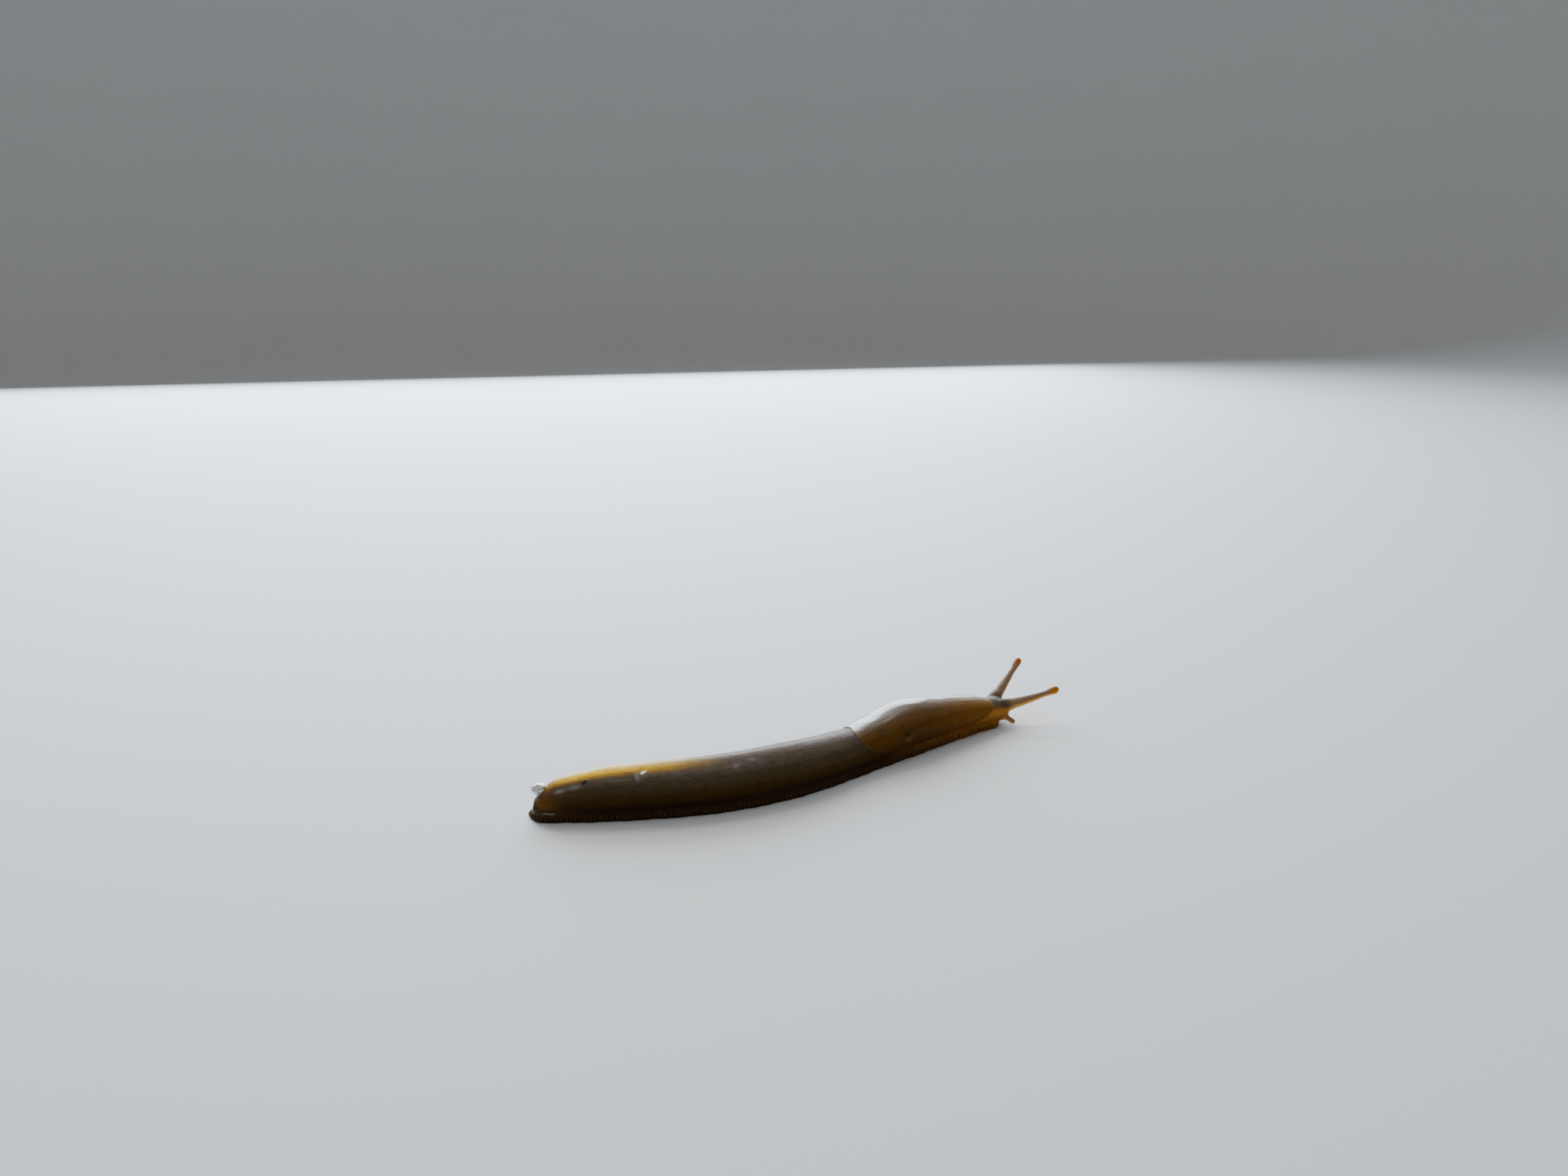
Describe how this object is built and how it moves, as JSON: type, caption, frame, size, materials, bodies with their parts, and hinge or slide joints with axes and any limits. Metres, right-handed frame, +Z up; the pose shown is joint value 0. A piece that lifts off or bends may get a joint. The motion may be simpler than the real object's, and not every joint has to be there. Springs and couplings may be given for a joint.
{
  "type": "banana slug",
  "caption": "Crawling banana slug at life size, body stretched in a gentle S, mantle over the front third, both pairs of feelers out.",
  "frame": {"origin": "on the flat sole, under the middle of the body's length", "axes": "+X from tail to head along the straight line between the body's ends, +Y to the slug's left, +Z up from the sole"},
  "size_m": [0.1718, 0.0351, 0.0162],
  "materials": {
    "skin": "wet satin, grey-brown to olive-brown",
    "mantle_skin": "wet satin, pinkish tan to orange-brown",
    "foot_skin": "wet satin, yellow-brown with dark grooves",
    "feeler_skin": "moist, grainy, lilac-grey over orange",
    "knob_skin": "moist, translucent orange",
    "eye": "glossy black",
    "slime": "milky, wet"
  },
  "bodies": {
    "root": {"foot_rear": "foot_skin", "foot_middle": "foot_skin", "foot_front": "foot_skin", "tail": "skin", "trunk_rear": "skin", "trunk_middle": "skin", "trunk_front": "skin", "neck": "skin", "head": "skin", "mantle": "mantle_skin", "upper_tentacle_right": "feeler_skin", "upper_tentacle_left": "feeler_skin", "eye_knob_right": "knob_skin", "eye_knob_left": "knob_skin", "eye_right": "eye", "eye_left": "eye", "lower_tentacle_right": "knob_skin", "lower_tentacle_left": "knob_skin", "mucus_plug": "slime"}
  },
  "joints": []
}
